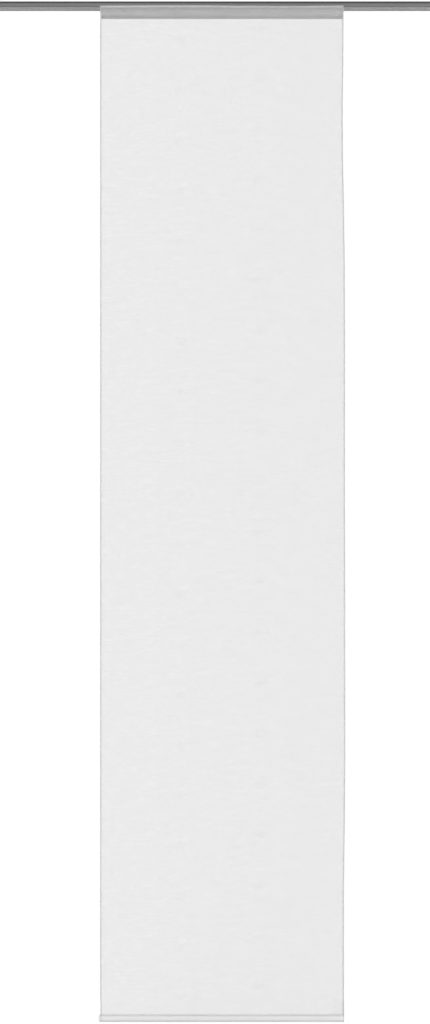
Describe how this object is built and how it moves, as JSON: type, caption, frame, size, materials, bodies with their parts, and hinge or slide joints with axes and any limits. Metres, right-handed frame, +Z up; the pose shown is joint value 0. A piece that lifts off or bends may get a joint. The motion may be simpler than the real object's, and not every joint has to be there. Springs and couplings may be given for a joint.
{
  "type": "sliding panel curtain",
  "caption": "Flat sheer fabric panel with a weighted bottom hem, held by hook-and-loop tape on a carrier that rolls along a two-channel aluminium ceiling track.",
  "frame": {"origin": "middle of the track's top face, where the track meets the ceiling", "axes": "+X along the track to the right as seen from the room, -Y towards the room, +Z up"},
  "size_m": [1.2, 0.0536, 2.5107],
  "materials": {
    "track_aluminium": "satin anodised",
    "carrier_aluminium": "extruded, plain",
    "grey_plastic": "fine moulded grain",
    "zinced_steel": "zinc plated",
    "tape": "hook and loop pile",
    "sheer_fabric": "sheer plain weave with slubs",
    "bar_lacquer": "white lacquer",
    "white_plastic": "fine moulded grain",
    "acetal": "moulded, slightly glossy"
  },
  "bodies": {
    "track": {"track": "track_aluminium", "track_end_cap_left": "grey_plastic", "track_end_cap_right": "grey_plastic", "end_stop_left": "grey_plastic", "end_stop_right": "grey_plastic", "stop_screw_left": "zinced_steel", "stop_screw_right": "zinced_steel"},
    "panel": {"carrier_profile": "carrier_aluminium", "carrier_end_cap_left": "grey_plastic", "carrier_end_cap_right": "grey_plastic", "hook_tape": "tape", "loop_tape": "tape", "fabric_panel": "sheer_fabric", "weight_bar": "bar_lacquer", "weight_bar_cap_left": "white_plastic", "weight_bar_cap_right": "white_plastic", "trolley_1": "acetal", "trolley_2": "acetal", "trolley_3": "acetal", "trolley_4": "acetal"},
    "wheelset_1": {"axle_1": "zinced_steel", "wheel_front_1": "acetal", "wheel_rear_1": "acetal"},
    "wheelset_2": {"axle_2": "zinced_steel", "wheel_front_2": "acetal", "wheel_rear_2": "acetal"},
    "wheelset_3": {"axle_3": "zinced_steel", "wheel_front_3": "acetal", "wheel_rear_3": "acetal"},
    "wheelset_4": {"axle_4": "zinced_steel", "wheel_front_4": "acetal", "wheel_rear_4": "acetal"}
  },
  "joints": [
    {"name": "panel_slide", "type": "slide", "parent": "track", "child": "panel", "axis": [1, 0, 0], "range_m": [-0.2925, 0.2925]},
    {"name": "wheel_spin_1", "type": "hinge", "parent": "panel", "child": "wheelset_1", "pos_m": [-0.28, -0.0159, -0.0075], "axis": [0, 1, 0], "continuous": true},
    {"name": "wheel_spin_2", "type": "hinge", "parent": "panel", "child": "wheelset_2", "pos_m": [-0.09333, -0.0159, -0.0075], "axis": [0, 1, 0], "continuous": true},
    {"name": "wheel_spin_3", "type": "hinge", "parent": "panel", "child": "wheelset_3", "pos_m": [0.09333, -0.0159, -0.0075], "axis": [0, 1, 0], "continuous": true},
    {"name": "wheel_spin_4", "type": "hinge", "parent": "panel", "child": "wheelset_4", "pos_m": [0.28, -0.0159, -0.0075], "axis": [0, 1, 0], "continuous": true}
  ],
  "couplings": [
    {"joint": "wheel_spin_1", "follows": "panel_slide", "rad_per_m": 208.33},
    {"joint": "wheel_spin_2", "follows": "panel_slide", "rad_per_m": 208.33},
    {"joint": "wheel_spin_3", "follows": "panel_slide", "rad_per_m": 208.33},
    {"joint": "wheel_spin_4", "follows": "panel_slide", "rad_per_m": 208.33}
  ]
}
